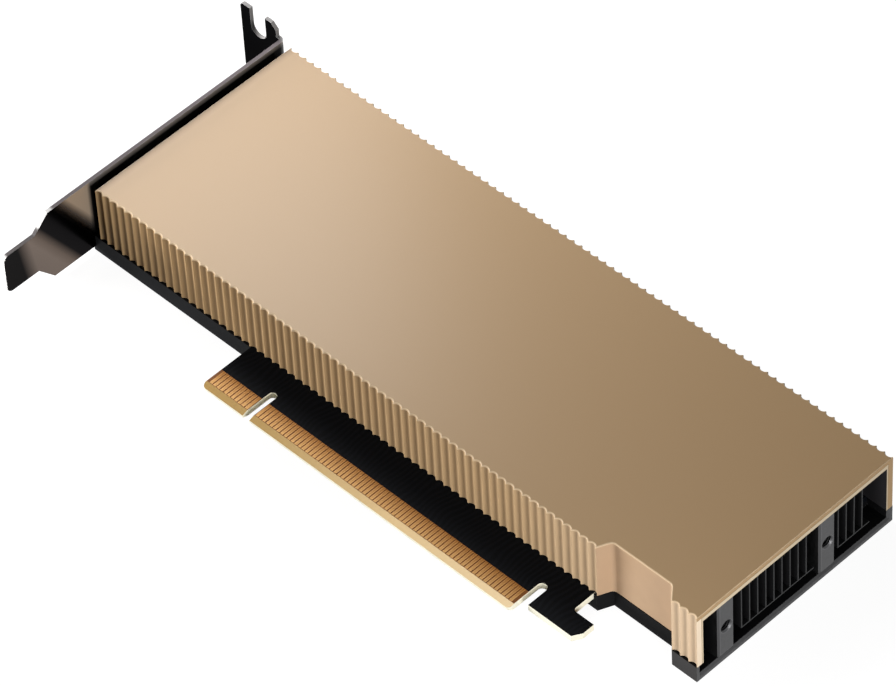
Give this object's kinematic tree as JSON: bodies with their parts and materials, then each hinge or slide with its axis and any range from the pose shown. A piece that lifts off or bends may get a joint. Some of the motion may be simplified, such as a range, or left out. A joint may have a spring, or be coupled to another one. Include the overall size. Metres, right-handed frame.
{
  "type": "passive accelerator card",
  "caption": "Low-profile plug-in accelerator card cooled by passing air, with a fluted metal cover, rear tray, slotted end bracket and a board edge with gold contacts.",
  "frame": {"origin": "centre line of the edge connector's key notch, at the contact edge, in the board's component face", "axes": "+X along the card from the bracket to the far end, +Y from the contacts to the top edge, +Z from the board to the cover; the card lies on its tray"},
  "size_m": [0.1795, 0.0792, 0.023],
  "materials": {
    "champagne_metal": "satin metallic paint",
    "tray_black": "satin black coat",
    "board_black": "black solder mask on glass laminate",
    "contact_gold": "bright plating",
    "bracket_nickel": "dark nickel, glossy",
    "post_steel": "plain zinc",
    "screw_black": "black zinc",
    "screw_steel": "zinc plate",
    "fin_metal": "dark anodised",
    "substrate_green": "resin laminate",
    "silicon": "polished",
    "paste_grey": "matt",
    "pad_grey": "soft, matt",
    "chip_black": "moulded resin",
    "coil_grey": "pressed powder",
    "capacitor_tan": "fired",
    "film_black": "matt film",
    "end_metal": "milled"
  },
  "bodies": {
    "root": {"cover": "champagne_metal", "rear_tray": "tray_black", "circuit_board": "board_black", "front_contacts": "contact_gold", "rear_contacts": "contact_gold", "bracket": "bracket_nickel", "bracket_screws": "screw_steel", "bracket_posts": "post_steel", "end_posts": "post_steel", "post_screws": "screw_black", "cover_screws": "screw_black", "heatsink_screws": "screw_steel", "heatsink_plate": "end_metal", "regulator_plate": "end_metal", "fin_stack": "fin_metal", "processor_substrate": "substrate_green", "processor_die": "silicon", "processor_stiffener": "end_metal", "die_paste": "paste_grey", "memory_chips": "chip_black", "memory_pads": "pad_grey", "inductors": "coil_grey", "inductor_pads": "pad_grey", "power_stages": "chip_black", "bulk_capacitors": "capacitor_tan", "control_chips": "chip_black", "front_capacitors": "capacitor_tan", "rear_capacitors": "capacitor_tan", "rear_pads": "pad_grey", "insulating_film": "film_black"}
  },
  "joints": []
}
